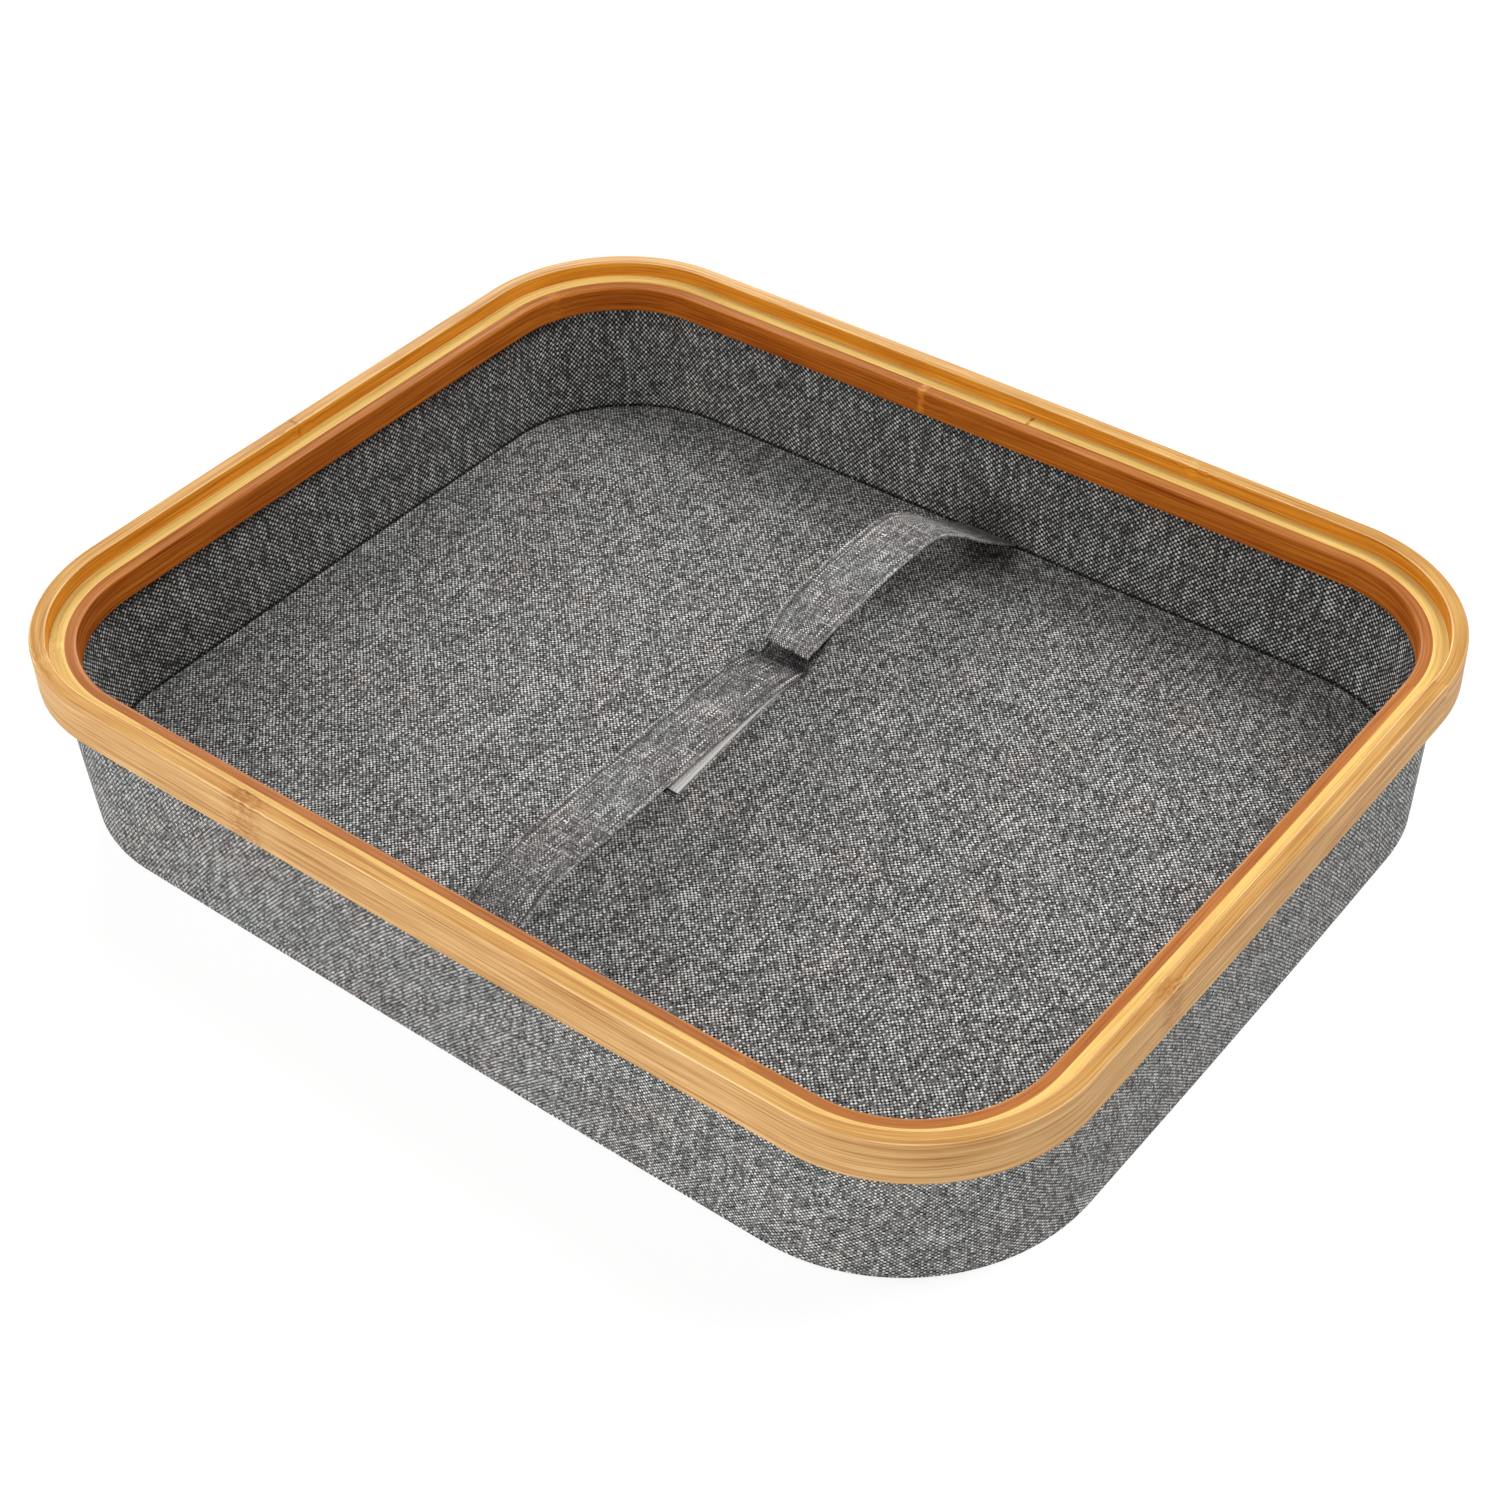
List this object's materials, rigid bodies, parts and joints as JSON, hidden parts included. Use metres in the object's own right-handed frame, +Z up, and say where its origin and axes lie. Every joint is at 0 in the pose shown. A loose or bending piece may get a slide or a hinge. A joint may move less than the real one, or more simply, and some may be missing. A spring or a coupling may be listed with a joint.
{
  "type": "lap desk storage tray",
  "caption": "Open storage tray of a lap desk: bent bamboo rim with a lid ledge, fabric-covered board walls, padded floor and a laptop strap.",
  "frame": {"origin": "centre of the underside, on the surface that the tray stands on", "axes": "+X along the long sides, +Y from the front strap root to the rear one, +Z up"},
  "size_m": [0.4, 0.321, 0.072],
  "materials": {
    "bamboo_outer_ply": "satin clear coat",
    "bamboo_middle_ply": "satin clear coat",
    "bamboo_inner_ply": "satin clear coat",
    "fibreboard": "matte",
    "linen_look_fabric": "matte woven",
    "linen_look_lining": "matte woven",
    "foam_sheet": "matte",
    "hook_and_loop_tape": "matte pile"
  },
  "bodies": {
    "tray": {"rim_outer_hoop": "bamboo_outer_ply", "rim_middle_hoop": "bamboo_middle_ply", "rim_inner_hoop": "bamboo_inner_ply", "wall_board": "fibreboard", "wall_cover": "linen_look_fabric", "wall_lining": "linen_look_lining", "base_cover": "linen_look_fabric", "base_board": "fibreboard", "floor_board": "fibreboard", "floor_foam": "foam_sheet", "floor_cover": "linen_look_lining"},
    "strap_front": {"strap_front_band": "linen_look_fabric", "hook_tape": "hook_and_loop_tape"},
    "strap_rear": {"strap_rear_band": "linen_look_fabric", "strap_rear_tongue": "linen_look_fabric", "loop_tape": "hook_and_loop_tape"}
  },
  "joints": [
    {"name": "strap_front_fold", "type": "hinge", "parent": "tray", "child": "strap_front", "pos_m": [-0.002, -0.1492, 0.0127], "axis": [1, 0, 0], "range_deg": [0, 48]},
    {"name": "strap_rear_fold", "type": "hinge", "parent": "tray", "child": "strap_rear", "pos_m": [-0.002, 0.1492, 0.0127], "axis": [-1, 0, 0], "range_deg": [0, 22]}
  ],
  "couplings": [
    {"joint": "strap_rear_fold", "follows": "strap_front_fold", "ratio": 0.45}
  ]
}
